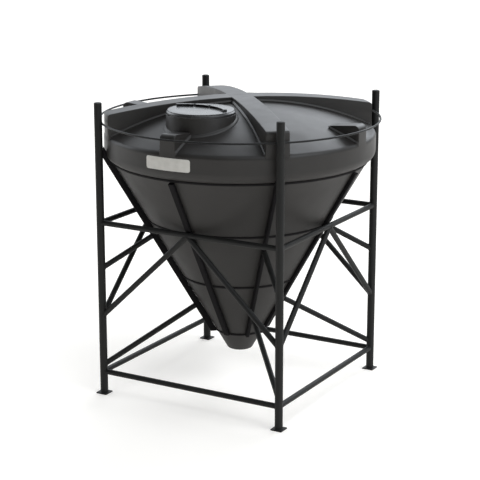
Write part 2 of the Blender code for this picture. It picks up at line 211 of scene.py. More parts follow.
def base_plate(x, y):
    """A square plate: its outline is drawn in by a small bevel at the top and the bottom."""
    edge_levels = ((PLATE_EDGE, 0), (0, PLATE_EDGE), (0, PLATE_TOP - PLATE_EDGE), (PLATE_EDGE, PLATE_TOP))
    rings = []
    for inset, height in edge_levels:
        outline = rounded_outline(PLATE_HALF - inset, PLATE_HALF - inset, PLATE_CORNER - inset, 5)
        rings.append(np.column_stack([outline + (x, y), np.full(len(outline), height)]))
    return carried(np.array(rings))


def post_tube(x, y):
    """The tube up to its rounded lip, then the plug: a narrow groove, a rim and a shallow crown."""
    lip = STAND_TOP - PLUG_HEIGHT
    profile = [(POST_RADIUS, level) for level in (PLATE_TOP - POST_FOOT_SUNK, 0.6, 1.4, lip - POST_LIP)]
    profile += arc((POST_RADIUS - POST_LIP, lip - POST_LIP), POST_LIP, 0, 90, 3)[1:]
    profile += [(POST_RADIUS - 0.0026, lip - 0.0006), (POST_RADIUS - 0.0029, lip + 0.0005)]
    profile += arc((POST_RADIUS - 0.0046, lip + PLUG_RIM), PLUG_RIM, 0, 90, 3)
    profile += [(radius, STAND_TOP - PLUG_CROWN * (radius / POST_RADIUS) ** 2)
                for radius in (0.024, 0.018, 0.012, 0.006, HUB)]
    return turned(profile, POST_ROUNDNESS, (x, y))


for corner, (side_x, side_y) in CORNERS.items():
    at = (side_x * POST_AT, side_y * POST_AT)
    piece(f"tube_post_{corner}", [post_tube(*at), base_plate(*at)], stand_coat,
          [f"post_{corner}"])

# Rails
# Round tubes of 48.3 mm run level from post to post, near the ground and two thirds up the cone.
# Their ends are cut to a saddle that fits the round post.


def unit(vector):
    """A vector brought to length one."""
    return np.asarray(vector, float) / np.linalg.norm(vector)


def across(direction):
    """Two directions square to a line and to each other."""
    first = unit(np.cross(direction, (0, 0, 1) if abs(direction[2]) < 0.9 else (1, 0, 0)))
    return first, np.cross(direction, first)


def reach(points, direction, centre, radius, axis):
    """How far each point travels along a direction until it leaves a round bar with a given axis."""
    axis = unit(axis)
    offset = points - centre
    offset = offset - np.outer(offset @ axis, axis)
    flat = direction - (direction @ axis) * axis
    b = offset @ flat
    inside = b ** 2 - (flat @ flat) * ((offset ** 2).sum(1) - radius ** 2)
    return (-b + np.sqrt(np.maximum(inside, 0))) / (flat @ flat)


def tube(start, end, radius, trim_start, trim_end, roundness=48):
    """A round tube between two points, with both end rings moved along it to fit what it meets.

    A trim is a function of the end ring's points and of the direction away from that end, and it
    gives the distance from each point to the cut. Returned are the surface, the two cut rings, the
    directions out from the tube's middle line at their points, and the direction along it.
    """
    start, end = np.array(start, float), np.array(end, float)
    along = unit(end - start)
    first, second = across(along)
    turn = np.linspace(0, 2 * np.pi, roundness, endpoint=False)[:, None]
    outward = np.cos(turn) * first + np.sin(turn) * second
    near = start + radius * outward
    far = end + radius * outward
    near = near + np.outer(trim_start(near, along), along)
    far = far - np.outer(trim_end(far, -along), along)
    rings = np.array([near + (far - near) * share for share in (0, 0.02, 0.25, 0.5, 0.75, 0.98, 1)])
    return carried(rings), near, far, outward, along


def at_post(x, y):
    """A trim that ends a tube at the surface of the post that stands at x, y."""
    return lambda points, away: reach(points, away, np.array([x, y, 0.0]), POST_RADIUS, (0, 0, 1))


def side_point(side, along, height, out=POST_AT):
    """A point on one side of the stand: 'along' runs to the right as seen from outside."""
    angle = np.radians({"front": -90, "right": 0, "back": 90, "left": 180}[side])
    normal = np.array([np.cos(angle), np.sin(angle), 0.0])
    right = np.array([-np.sin(angle), np.cos(angle), 0.0])
    return normal * out + right * along + np.array([0.0, 0.0, height])


RAIL_RADIUS = 0.02415
SIDES = ("front", "right", "back", "left")
rail_levels = {level: sum(corner.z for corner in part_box(f"{level}_rail_front")) / 2
               for level in ("bottom", "mid")}
saddles = []
for side in SIDES:
    for level, height in rail_levels.items():
        left, right = side_point(side, -POST_AT, height), side_point(side, POST_AT, height)
        made, near, far, outward, along = tube(left, right, RAIL_RADIUS,
                                               at_post(*left[:2]), at_post(*right[:2]))
        piece(f"tube_{level}_rail_{side}", [made], stand_coat, [f"{level}_rail_{side}"])
        saddles += [(near, outward, along), (far, outward, along)]

# Knee braces
# On each side two tubes of the same size run from the middle of the mid rail down to the posts.
# They meet under the rail, each cut to half a point, and are welded to it and to each other.

KNEE_TOP = 1.565
KNEE_FOOT = 0.722


def under_rail(side):
    """A trim that ends a brace below the mid rail or at the side's middle line."""
    middle = side_point(side, 0, rail_levels["mid"])
    sideways = side_point(side, 1, 0, 0)

    def trim(points, away):
        to_rail = reach(points, away, middle, RAIL_RADIUS, sideways)
        to_middle = -((points - middle) @ sideways) / (away @ sideways)
        return np.maximum(to_rail, to_middle)
    return trim


for side in SIDES:
    for hand, sign in (("left", -1), ("right", 1)):
        foot, head = side_point(side, sign * POST_AT, KNEE_FOOT), side_point(side, 0, KNEE_TOP)
        made, near, far, outward, along = tube(foot, head, RAIL_RADIUS,
                                               at_post(*foot[:2]), under_rail(side))
        piece(f"tube_knee_brace_{side}_{hand}", [made], stand_coat,
              [f"knee_brace_{side}_{hand}"])
        saddles += [(near, outward, along), (far, outward, along)]

# Cone rings
# Four hoops of 20 by 6 mm flat bar are rolled to the cone's slope, and the cone lies against them.
# Their edges are slightly rounded from rolling. They and the ribs wear a darker, duller copy of the tubes'
# coat, which paints in the shade they lie in under the tank.

CONE_ANGLE = np.radians(60)
CONE_APEX = 0.137
RING_HEIGHTS = (2.092, 1.566, 1.036, 0.508)
RING_BROAD, RING_THICK = 0.020, 0.006
RING_EDGE = 0.0012
RING_GAP = 0.0003
SLOPE = np.array([np.cos(CONE_ANGLE), np.sin(CONE_ANGLE)])
OFF = np.array([np.sin(CONE_ANGLE), -np.cos(CONE_ANGLE)])


def on_cone(height, offset=0.0):
    """Radius and height of a point on the cone's outside at a height, moved off it by an offset."""
    return np.array([(height - CONE_APEX) / np.tan(CONE_ANGLE), height]) + offset * OFF


# A shaded copy of the stand's coat, with weaker gloss and a slightly darker tone: painted shade on the
# rings and ribs.
shaded_cradle_coat = powder_coated_steel("black coated steel darkened as painted shade", "#161516", "#1c1b1c", 0.60, 0.72, 1.14)


def ring_section(height):
    """The bar's section, laid along the cone's slope with its back just off the cone."""
    middle = on_cone(height, RING_GAP + RING_THICK / 2)
    return [middle + x * SLOPE + y * OFF
            for x, y in rounded_outline(RING_BROAD / 2, RING_THICK / 2, RING_EDGE, 3)]


for level, height in enumerate(RING_HEIGHTS, 1):
    piece(f"flat_bar_ring_{level}", [turned(ring_section(height), 192, joined=True)], shaded_cradle_coat,
          [f"cone_ring_{level}"])

# Ribs
# Eight bars of 50 by 25 mm box section run down over the rings, notched for them, and are welded on.
# Those at the corners stand on edge, are coped round the tank's shoulder and end on the posts.
# Those on the sides lie flat and stop just below the first ring.

RIB_BASE = RING_THICK + 2 * RING_GAP
RIB_BROAD, RIB_NARROW = 0.050, 0.025
RIB_CORNER = 0.003
RIB_GAP = 0.0012
NOTCH_HALF = 0.0105
NOTCH_STATIONS = np.array([-1.35, -1.0, 1.0, 1.35]) * NOTCH_HALF
NOTCH_LIMIT = NOTCH_HALF * 1.18
RIB_FITTED = 2.0
RIB_FOOT = 0.500
FACE_RIB_TOP = 2.075
POST_CIRCLE = POST_AT * np.sqrt(2)
WALL_RADIUS = 1.195
SHOULDER_RADIUS = 0.090
SHOULDER_LEVEL = 2.190
UP = np.array([0.0, 0.0, 1.0])


def bulge(height):
    """How far the tank's rounded shoulder and its wall stand off the cone's line at a height."""
    below = np.minimum(height - SHOULDER_LEVEL, 0)
    rounded = WALL_RADIUS - SHOULDER_RADIUS + np.sqrt(np.maximum(SHOULDER_RADIUS ** 2 - below ** 2, 0))
    rounded = np.where(below > -SHOULDER_RADIUS, rounded, 0.0)
    return (rounded - (height - CONE_APEX) / np.tan(CONE_ANGLE)) * np.sin(CONE_ANGLE)


def rib(outward, broad, deep, top_of):
    """A rounded section carried up the cone's slope; each of its lines ends at its own height.

    The inner lines lie close to the cone, and step out where a ring passes and over the shoulder.
    Only the part above RIB_FITTED is stretched to the ends, so the notches stay level.
    """
    sideways = np.cross(UP, outward)
    section = rounded_outline(broad / 2, deep / 2, RIB_CORNER, 3)
    inner = section[:, 1] < 0
    off = RIB_BASE + deep / 2 + section[:, 1]
    top = top_of(section[:, 0], off)
    inner_top = top[inner].min()
    levels = np.concatenate([np.linspace(RIB_FOOT, RIB_FITTED, 9), np.linspace(RIB_FITTED, inner_top, 30)]
                            + [ring + NOTCH_STATIONS for ring in RING_HEIGHTS])
    levels = np.unique(levels[(levels >= RIB_FOOT) & (levels <= inner_top)])[:, None]
    stretch = (top - RIB_FITTED) / (inner_top - RIB_FITTED)
    height = np.minimum(levels, RIB_FITTED) + np.maximum(levels - RIB_FITTED, 0) * stretch
    from_ring = np.abs(height[..., None] - RING_HEIGHTS).min(-1)
    stand_off = off - inner * (RIB_BASE - RIB_GAP) * (from_ring > NOTCH_LIMIT)
    stand_off = np.maximum(stand_off, bulge(height) + RING_GAP)
    radius = (height - CONE_APEX) / np.tan(CONE_ANGLE) + stand_off / np.sin(CONE_ANGLE)
    return carried(radius[..., None] * outward + section[:, :1] * sideways + height[..., None] * UP)


def end_on_post(aside, off):
    """The height at which a line of a corner rib meets the round post."""
    meeting = POST_CIRCLE - np.sqrt(POST_RADIUS ** 2 - aside ** 2)
    return CONE_APEX + (meeting - off / np.sin(CONE_ANGLE)) * np.tan(CONE_ANGLE)


def end_square(aside, off):
    """The height of a side rib's end, which is cut square to its length."""
    return FACE_RIB_TOP - (off - RIB_BASE) * np.cos(CONE_ANGLE)


diagonals = {corner: np.array([x, y, 0.0]) / np.sqrt(2) for corner, (x, y) in CORNERS.items()}
normals = {side: side_point(side, 0, 0, 1.0) for side in SIDES}
# The ribs wear the shaded copy of the coat as well, as painted shade.
for corner, outward in diagonals.items():
    piece(f"box_rib_{corner}", [rib(outward, RIB_NARROW, RIB_BROAD, end_on_post)], shaded_cradle_coat,
          [f"corner_rib_{corner}"])
for side, outward in normals.items():
    piece(f"box_rib_{side}", [rib(outward, RIB_BROAD, RIB_NARROW, end_square)], shaded_cradle_coat,
          [f"face_rib_{side}"])

# Struts
# Two short tubes prop each corner rib from its post, square to the rib.
# They are cut to the post at one end and flat at the other, which is wider than the rib.

STRUT_HEIGHTS = {"upper": 1.159, "lower": 0.2655}


def cut_flat(points, away):
    """A trim that leaves a tube's end square."""
    return np.zeros(len(points))


short_runs = []
for corner, outward in diagonals.items():
    toward_rib = -OFF[0] * outward - OFF[1] * UP
    up_the_rib = SLOPE[0] * outward + SLOPE[1] * UP
    sideways = np.cross(UP, outward)
    for level, height in STRUT_HEIGHTS.items():
        foot = POST_CIRCLE * outward + height * UP
        distance = (np.array([POST_CIRCLE, height]) - on_cone(height)) @ OFF - RIB_BASE - RIB_BROAD
        head = foot + distance * toward_rib
        made, near, far, around, along = tube(foot, head, RAIL_RADIUS, at_post(*foot[:2]), cut_flat)
        piece(f"tube_strut_{level}_{corner}", [made], stand_coat,
              [f"{level}_strut_{corner}"])
        saddles.append((near, around, along))
        half_chord = np.sqrt(RAIL_RADIUS ** 2 - (RIB_NARROW / 2) ** 2) * up_the_rib
        for hand in (-1, 1):
            edge = head + hand * RIB_NARROW / 2 * sideways
            short_runs.append((edge - half_chord, edge + half_chord))

# Top hoop
# A round bar is bent to a circle round the roof and welded to each post. It is drawn 17.6 mm thick, which
# is thicker than the bar itself, and darker than the stand's coat, so that it also paints in its own
# shadow on the roof.
# It is drawn in quarters, and each quarter's ends are cut to the round posts.

HOOP_RADIUS = 1.2312
HOOP_LEVEL = 2.453
# Half the drawn thickness: the bar's own, widened to take in its shadow on the roof as painted shadow.
HOOP_BAR = 0.0088
HOOP_BAR_ROUNDNESS = 14
HOOP_WELD_HALF = 0.012
# Darker than the stand's coat: painted shadow of the bar on the roof.
hoop_coat_with_painted_shadow = powder_coated_steel("satin black coated bar darkened as painted shadow", "#0c0c0c", "#121212", 0.46, 0.54, 1.34)
turn = np.linspace(0, 2 * np.pi, HOOP_BAR_ROUNDNESS, endpoint=False)
line_radius = HOOP_RADIUS + HOOP_BAR * np.cos(turn)
line_height = HOOP_LEVEL + HOOP_BAR * np.sin(turn)
to_post = (line_radius ** 2 + POST_CIRCLE ** 2 - POST_RADIUS ** 2) / (2 * line_radius * POST_CIRCLE)
half_sweep = np.pi / 4 - np.arccos(np.minimum(to_post, 1.0))
for side, outward in normals.items():
    angle = np.arctan2(outward[1], outward[0]) + half_sweep * np.linspace(-1, 1, 49)[:, None]
    quarter = np.stack([line_radius * np.cos(angle), line_radius * np.sin(angle),
                        line_height + 0 * angle], -1)
    piece(f"bent_hoop_{side}", [carried(quarter)], hoop_coat_with_painted_shadow, [f"top_hoop_{side}"])
for corner, outward in diagonals.items():
    sideways = np.cross(UP, outward)
    for level in (-1, 1):
        seat = (POST_CIRCLE - POST_RADIUS) * outward + (HOOP_LEVEL + level * HOOP_BAR) * UP
        short_runs.append((seat - HOOP_WELD_HALF * sideways, seat + HOOP_WELD_HALF * sideways))

# Welds
# Each joint of the stand is closed by a small fillet weld laid by hand, with a ripple along it.
# The powder coat covers them, so they show as soft thick lines at the ends of the tubes.

BEAD = 0.0036
FOOT_BEAD = 0.0045


def seam_bead(ring, outward, along):
    """A bead along a cut end: a small circle between outward and along, swelling in even waves."""
    turn = np.linspace(0, 2 * np.pi, 7, endpoint=False)[:, None]
    swell = BEAD * (1 + 0.12 * np.cos(np.arange(len(ring)) * 2 * np.pi / 3))[:, None, None]
    rings = ring[:, None] + swell * (np.cos(turn) * outward[:, None] + np.sin(turn) * along)
    return carried(rings, joined=True)


def short_bead(start, end):
    """A short run of weld: circles along a line, drawn in to a point at both ends."""
    along = unit(end - start)
    first, second = across(along)
    turn = np.linspace(0, 2 * np.pi, 8, endpoint=False)[:, None]
    share = np.linspace(-0.98, 0.98, 9)[:, None, None]
    circle = np.cos(turn) * first + np.sin(turn) * second
    return carried((start + end) / 2 + share * (end - start) / 2 + BEAD * np.sqrt(1 - share ** 2) * circle)


for outwards, half_width, levels in ((diagonals, RIB_NARROW / 2, RING_HEIGHTS),
                                     (normals, RIB_BROAD / 2, RING_HEIGHTS[1:])):
    for outward in outwards.values():
        sideways = np.cross(UP, outward)
        for height in levels:
            middle = on_cone(height, RIB_BASE)
            half_run = RING_BROAD / 2 * (SLOPE[0] * outward + SLOPE[1] * UP)
            for hand in (-1, 1):
                seat = middle[0] * outward + middle[1] * UP + hand * half_width * sideways
                short_runs.append((seat - half_run, seat + half_run))
foot_rings = [turned(arc((POST_RADIUS, PLATE_TOP), FOOT_BEAD, 0, 315, 7), 48,
                     (x * POST_AT, y * POST_AT), joined=True) for x, y in CORNERS.values()]
welds = [seam_bead(*saddle) for saddle in saddles] + [short_bead(*run) for run in short_runs] + foot_rings
piece("weld_beads", welds, stand_coat)

# Tank
# The tank is moulded in one piece from black polyethylene powder in a heated, turning mould, about
# 10 mm thick. The mould leaves a fine grain and a slight waviness on cone, shoulder and wall.

SKIN_REFRACTION = 1.42
COLOUR_PATCH = 0.20
MOULD_GRAIN = 0.005
WAVE_LENGTH = 0.25
WAVE_DEPTH = 0.010
GLOSSY_ABOVE = 2.34
DULL_BELOW = 2.10
DULLER_BY = 0.12


def moulded_polyethylene(name, dark, light, glossy, matt, grain_depth):
    """Black polyethylene: a dull, waxy skin, paler in soft patches and slightly wavy.

    The mould's grain is about 1 mm and is drawn at 5 mm so that it shows; the waves are 0.25 m long.
    The cone comes off a blasted half of the mould and is duller than the roof.
    """
    finish, tree, shader = blank_finish(name)
    shader.inputs["IOR"].default_value = SKIN_REFRACTION
    place = node(tree, "ShaderNodeTexCoord").outputs["Object"]
    patch = node(tree, "ShaderNodeTexNoise", [("Vector", place)], Scale=1 / COLOUR_PATCH,
                 Detail=4.0, Roughness=0.6)
    grain = node(tree, "ShaderNodeTexNoise", [("Vector", place)], Scale=1 / MOULD_GRAIN, Detail=2.0)
    wave = node(tree, "ShaderNodeTexNoise", [("Vector", place)], Scale=1 / WAVE_LENGTH, Detail=1.0)
    split = node(tree, "ShaderNodeSeparateXYZ", [(0, place)])
    duller = node(tree, "ShaderNodeMapRange", [("Value", split.outputs["Z"])],
                  From_Min=GLOSSY_ABOVE, From_Max=DULL_BELOW, To_Min=0.0, To_Max=DULLER_BY)
    gloss = node(tree, "ShaderNodeMapRange", [("Value", patch.outputs["Fac"])],
                 From_Min=0.3, From_Max=0.7, To_Min=glossy, To_Max=matt)
    gloss = node(tree, "ShaderNodeMath", [(0, gloss.outputs["Result"]), (1, duller.outputs["Result"])],
                 operation="ADD")
    hollows = node(tree, "ShaderNodeBump", [("Height", wave.outputs["Fac"])],
                   Strength=0.5, Distance=WAVE_DEPTH)
    skin = node(tree, "ShaderNodeBump",
                [("Height", grain.outputs["Fac"]), ("Normal", hollows.outputs["Normal"])],
                Strength=0.15, Distance=grain_depth)
    tree.links.new(two_tones(tree, patch, dark, light, 0.34, 0.68), shader.inputs["Base Color"])
    tree.links.new(gloss.outputs["Value"], shader.inputs["Roughness"])
    tree.links.new(skin.outputs["Normal"], shader.inputs["Normal"])
    return finish


tank_skin = moulded_polyethylene("moulded black polyethylene", "#242220", "#292725",
                                 0.42, 0.49, 0.0008)
TANK_WALL = 0.010
CONE_BOTTOM = 0.325
BOTTOM_ROUNDING = 0.030
RIM_LEVEL = 2.3051
WALL_MIDDLE = 2.25
TANK_ROUNDNESS = 256


def shell_profile(inset):
    """Half outline of the tank from its bottom centre up to the rim, moved inwards by an inset.

    The crease between cone and shoulder is eased: the cone stops short of it and the arc starts past it.
    """
    radius, shoulder, corner = WALL_RADIUS - inset, SHOULDER_RADIUS - inset, BOTTOM_ROUNDING - inset
    apex, bottom = CONE_APEX + inset / np.cos(CONE_ANGLE), CONE_BOTTOM + inset
    corner_r = (bottom - apex) / np.tan(CONE_ANGLE) - corner * np.tan(CONE_ANGLE / 2)
    off_cone = (SHOULDER_LEVEL - apex) * np.cos(CONE_ANGLE) - (radius - shoulder) * np.sin(CONE_ANGLE)
    crease = -30 - np.degrees(np.arccos(off_cone / shoulder))
    foot = arc((corner_r, bottom + corner), corner, -90, -30, 10)
    crease_level = SHOULDER_LEVEL + shoulder * np.sin(np.radians(crease))
    heights = np.linspace(foot[-1][1], crease_level - 0.005, 14)[1:]
    cone = list(zip((heights - apex) / np.tan(CONE_ANGLE), heights))
    rounded = arc((radius - shoulder, SHOULDER_LEVEL), shoulder, crease + 4, 0, 24)
    wall = [(radius, WALL_MIDDLE), (radius, RIM_LEVEL)]
    return [(HUB, bottom)] + foot + cone + rounded + wall


shell = turned(shell_profile(0) + shell_profile(TANK_WALL)[::-1], TANK_ROUNDNESS)
piece("moulded_tank", [shell], tank_skin, ["tank_shell"])

# Roof
# The roof is part of the same moulding: a shallow dome that is rounded down to the upright wall,
# four raised arms toward the posts, four small dormers between them and the neck of the manway.
# Arms, dormers and neck each stand on a low ledge.

DOME_CROWN = 2.601
DOME_BALL = 2.7888
EDGE_RADIUS = 0.043
EDGE_CENTRE = (WALL_RADIUS - EDGE_RADIUS, RIM_LEVEL)
EDGE_SLOPE = np.radians(24.8)
EDGE_START = EDGE_CENTRE[0] + EDGE_RADIUS * np.sin(EDGE_SLOPE)
UNDER_EDGE = 2.318
UNDER_START = 1.16


def dome(radius):
    """Height of the dome: part of a ball whose top is the crown."""
    return DOME_CROWN - DOME_BALL + np.sqrt(DOME_BALL ** 2 - np.square(radius))


def roof_surface(radius):
    """Height of the roof's skin: the dome, then the quarter round that turns it down to the wall."""
    beyond = np.clip(np.asarray(radius, float) - EDGE_CENTRE[0], 0, EDGE_RADIUS)
    rounded = EDGE_CENTRE[1] + np.sqrt(EDGE_RADIUS ** 2 - beyond ** 2)
    return np.where(np.asarray(radius) > EDGE_START, rounded, dome(np.minimum(radius, EDGE_START)))


outer = [(radius, dome(radius)) for radius in np.linspace(HUB, EDGE_START, 46)[:-1]]
outer += arc(EDGE_CENTRE, EDGE_RADIUS, 90 - np.degrees(EDGE_SLOPE), 0, 16)
inner = [(WALL_RADIUS - TANK_WALL, level) for level in (RIM_LEVEL, UNDER_EDGE)]
inner += [(radius, dome(radius) - TANK_WALL) for radius in np.linspace(UNDER_START, HUB, 24)]
dome_skin = turned(outer + inner, TANK_ROUNDNESS)


WALL_FIT = 0.16


def over_corner(corner, radius, start, end, steps=8):
    """Points of a rounded corner in side view, its angles in degrees."""
    return np.array(arc(corner, radius, start, end, steps))


def loaf(outward, path, half_width, edge, draft, base, cut=0.0):
    """A long raised form: a path in side view, carried across with rounded edges and leaning sides.

    Each station of the path gives one ring: from the foot up the side, over the edge's quarter
    circle, across, and down the other side. The half width grows by the draft with the depth, and
    cut draws the quarter circle toward its chord, which leaves a chamfer.
    The outer ends are drawn back to the tank's round wall.
    """
    step = np.gradient(path, axis=0)
    normal = np.stack([-step[:, 1], step[:, 0]], -1) / np.linalg.norm(step, axis=1)[:, None]
    inner_line = path - edge * normal
    width = half_width + draft * (path[:, 1].max() - inner_line[:, 1])
    run = np.concatenate([[0], np.cumsum(np.linalg.norm(np.diff(inner_line, axis=0), axis=1))])
    foot_s = np.interp(run / run[-1], [0, 1], [inner_line[0, 0], inner_line[-1, 0]])
    foot_z = np.minimum(np.maximum(base(np.abs(foot_s)), RIM_LEVEL), inner_line[:, 1])
    foot_width = half_width + draft * (path[:, 1].max() - foot_z)
    bend = np.linspace(1, 0, 6)
    out = (1 - cut) * np.sin(bend * np.pi / 2) + cut * bend
    down = (1 - cut) * (1 - np.cos(bend * np.pi / 2)) + cut * bend
    flat = np.linspace(-1, 1, 17)[1:-1]
    aside = np.concatenate([-out, np.zeros(len(flat)), out[::-1]])
    middle = np.concatenate([-np.ones(len(bend)), flat, np.ones(len(bend))])
    sunk = np.concatenate([down, np.zeros(len(flat)), down[::-1]])
    v = middle * (width[:, None] - edge) + aside * edge
    sz = path[:, None] - (sunk * edge)[:, None] * normal[:, None]
    s, z = sz[..., 0], sz[..., 1]
    s = np.hstack([foot_s[:, None], s, foot_s[:, None]])
    z = np.hstack([foot_z[:, None], z, foot_z[:, None]])
    v = np.hstack([-foot_width[:, None], v, foot_width[:, None]])
    near_wall = np.clip((np.abs(s) - WALL_RADIUS + WALL_FIT) / WALL_FIT, 0, 1)
    eased = near_wall ** 2 * (3 - 2 * near_wall)
    s = s - np.sign(s) * eased * (WALL_RADIUS - np.sqrt(WALL_RADIUS ** 2 - v ** 2))
    return carried(s[..., None] * outward + v[..., None] * np.cross(UP, outward) + z[..., None] * UP)


def arch_path(crown, ball, corner, shell_height):
    """Side view of a pair of arms: up one end, along the arch, and down the other end."""
    turning = WALL_RADIUS - corner
    level = crown - ball + np.sqrt(ball ** 2 - turning ** 2)
    lean = np.degrees(np.arcsin(turning / ball))
    along = np.linspace(-turning, turning, 61)[1:-1]
    arch = np.stack([along, crown - ball + np.sqrt(ball ** 2 - along ** 2)], -1)
    rise = np.linspace(shell_height, level - corner, 8)[:-1]
    up = np.stack([np.full(len(rise), -WALL_RADIUS), rise], -1)
    left = over_corner((-turning, level - corner), corner, 180, 90 + lean)
    right = over_corner((turning, level - corner), corner, 90 - lean, 0)
    down = up[::-1] * (-1, 1)
    return np.vstack([up, left, arch, right, down])


def under_skin(radius):
    """The line inside the roof's skin on which the raised forms stand."""
    return roof_surface(radius) - TANK_WALL / 2


FORM_FOOT = RIM_LEVEL + 0.0002
ARM_HALF = 0.0965
ARM_CROWN = 2.645
ARM_BALL = 6.73
ARM_CORNER = 0.024
ARM_EDGE = 0.005
ARM_DRAFT = 0.02
LEDGE_HEIGHT = 0.021
LEDGE_WIDTH = 0.015
LEDGE_CHAMFER = 0.013
LEDGE_CUT = 0.9
raised = []
for outward in (diagonals["front_right"], diagonals["back_right"]):
    arch = arch_path(ARM_CROWN, ARM_BALL, ARM_CORNER, FORM_FOOT)
    raised.append(loaf(outward, arch, ARM_HALF, ARM_EDGE, ARM_DRAFT, under_skin))
    ledge = arch_path(DOME_CROWN + LEDGE_HEIGHT, DOME_BALL, ARM_CORNER, FORM_FOOT)
    raised.append(loaf(outward, ledge, ARM_HALF + LEDGE_WIDTH, LEDGE_CHAMFER, 0.0,
                       under_skin, LEDGE_CUT))

DORMER_HALF = 0.070
DORMER_INNER = (0.915, 2.470)
DORMER_OUTER = 2.490
DORMER_CORNER = 0.045
DORMER_INNER_CORNER = 0.006
DORMER_LEDGE = 0.019
DORMER_LEDGE_WIDTH = 0.016
DORMER_LEDGE_START = DORMER_INNER[0] - 0.008
DORMER_LEDGE_CORNER = 0.022


def dormer_path(inner, inner_top, outer_top, corner, small):
    """Side view of a dormer: a low inner end, a nearly level top and a tall, rounded outer end."""
    top_start = np.array([inner + small, inner_top])
    top_end = np.array([WALL_RADIUS - corner, outer_top])
    top = top_start + np.linspace(0, 1, 16)[1:-1, None] * (top_end - top_start)
    low = dome(inner) - TANK_WALL / 2
    rise = np.stack([np.full(3, inner), np.linspace(low, inner_top - small, 4)[:-1]], -1)
    first = over_corner((inner + small, inner_top - small), small, 180, 90, 4)
    second = over_corner((WALL_RADIUS - corner, outer_top - corner), corner, 90, 0)
    fall = np.stack([np.full(8, WALL_RADIUS), np.linspace(outer_top - corner, FORM_FOOT, 9)[1:]], -1)
    return np.vstack([rise, first, top, second, fall])


def dormer_ledge_path(start, corner):
    """Side view of a dormer's ledge: it runs a little above the dome and is rounded down at the wall."""
    along = np.linspace(start, WALL_RADIUS - corner, 24)[:, None]
    top = np.hstack([along, dome(along) + DORMER_LEDGE])
    last = over_corner((WALL_RADIUS - corner, top[-1, 1] - corner), corner, 80, 0, 6)
    return np.vstack([[[start, dome(start) - TANK_WALL / 2]], top, last, [[WALL_RADIUS, FORM_FOOT]]])


for outward in normals.values():
    body = dormer_path(*DORMER_INNER, DORMER_OUTER, DORMER_CORNER, DORMER_INNER_CORNER)
    raised.append(loaf(outward, body, DORMER_HALF, ARM_EDGE, ARM_DRAFT, under_skin))
    skirt = dormer_ledge_path(DORMER_LEDGE_START, DORMER_LEDGE_CORNER)
    raised.append(loaf(outward, skirt, DORMER_HALF + DORMER_LEDGE_WIDTH, LEDGE_CHAMFER, 0.0,
                       under_skin, LEDGE_CUT))

MANWAY = np.array([0.0, -0.656])
NECK_RADIUS = 0.2945
NECK_TOP = 2.5853
NECK_ROUNDNESS = 128
NECK_EDGE = 0.004
NECK_BORE = 0.262
NECK_SUNK = 0.004
# The ledge's rings: radius and rise over the dome. The fillet's: also how far below the top they stay.
NECK_LEDGE = ((0.3175, -NECK_SUNK), (0.3170, 0.0015), (0.3155, 0.0035), (0.3065, 0.0115))
NECK_FILLET = ((0.2985, 0.0135, 0.0045), (0.2962, 0.0150, 0.0042), (NECK_RADIUS, 0.0200, 0.0040))


def neck_ring(radius, rise=None, level=None):
    """A ring of the neck, either at a level or at a rise over the dome under each of its points."""
    turn = np.linspace(0, 2 * np.pi, NECK_ROUNDNESS, endpoint=False)
    x, y = MANWAY[0] + radius * np.cos(turn), MANWAY[1] + radius * np.sin(turn)
    z = dome(np.hypot(x, y)) + rise if level is None else np.full(NECK_ROUNDNESS, level)
    return np.stack([x, y, z], -1)


def neck_wall(radius, rise, level):
    """A ring part of the way up the neck, never above its top."""
    ring = neck_ring(radius, rise=rise)
    ring[:, 2] = np.minimum(ring[:, 2], level)
    return ring


neck = [neck_ring(radius, rise=rise) for radius, rise in NECK_LEDGE]
neck += [neck_wall(radius, rise, NECK_TOP - drop) for radius, rise, drop in NECK_FILLET]
neck += [neck_ring(NECK_RADIUS - NECK_EDGE + NECK_EDGE * np.cos(a),
                   level=NECK_TOP - NECK_EDGE + NECK_EDGE * np.sin(a))
         for a in np.radians((10, 35, 60, 90))]
neck += [neck_ring(NECK_BORE, level=NECK_TOP), neck_ring(NECK_BORE, rise=-NECK_SUNK)]
piece("moulded_roof", [dome_skin] + raised + [carried(np.array(neck), joined=True)], tank_skin,
      ["roof"])

# Lid
# The manway's lid is a separate moulding of the same plastic, slightly glossier than the tank.
# A raised disc stands on a bevelled rim. A curved handle lies across it behind the middle, with three
# finger pockets in its front and a small stop pin at its right end.

lid_skin = moulded_polyethylene("moulded black polyethylene lid", "#2a2a2a", "#303030",
                                0.24, 0.29, 0.0002)
LID_TOP = 2.6198
LID_DISC = 0.282
LID_RIM = 0.2925
LID_EDGE = 0.003
LID_SEAT = NECK_TOP + 0.0003
RIM_TOP = 2.6126
RIM_BEVEL = 0.009
LID_PLUG = 0.246
LID_PLUG_FOOT = NECK_TOP - 0.020


def lid_body():
    """Disc, step, bevelled rim, skirt and plug, turned about the manway's axis."""
    profile = [(HUB, LID_TOP), (0.10, LID_TOP), (0.20, LID_TOP)]
    profile += arc((LID_DISC - LID_EDGE, LID_TOP - LID_EDGE), LID_EDGE, 90, 0, 4)
    profile += [(LID_DISC, RIM_TOP + 0.001), (LID_DISC + 0.0015, RIM_TOP)]
    profile += [(LID_RIM - 0.0005, RIM_TOP - RIM_BEVEL), (LID_RIM, RIM_TOP - RIM_BEVEL - 0.001)]
    profile += [(LID_RIM, NECK_TOP + 0.002), (LID_RIM - 0.002, LID_SEAT)]
    profile += [(LID_PLUG, LID_SEAT), (LID_PLUG, LID_PLUG_FOOT), (HUB, LID_PLUG_FOOT)]
    return turned(profile, 192, MANWAY)


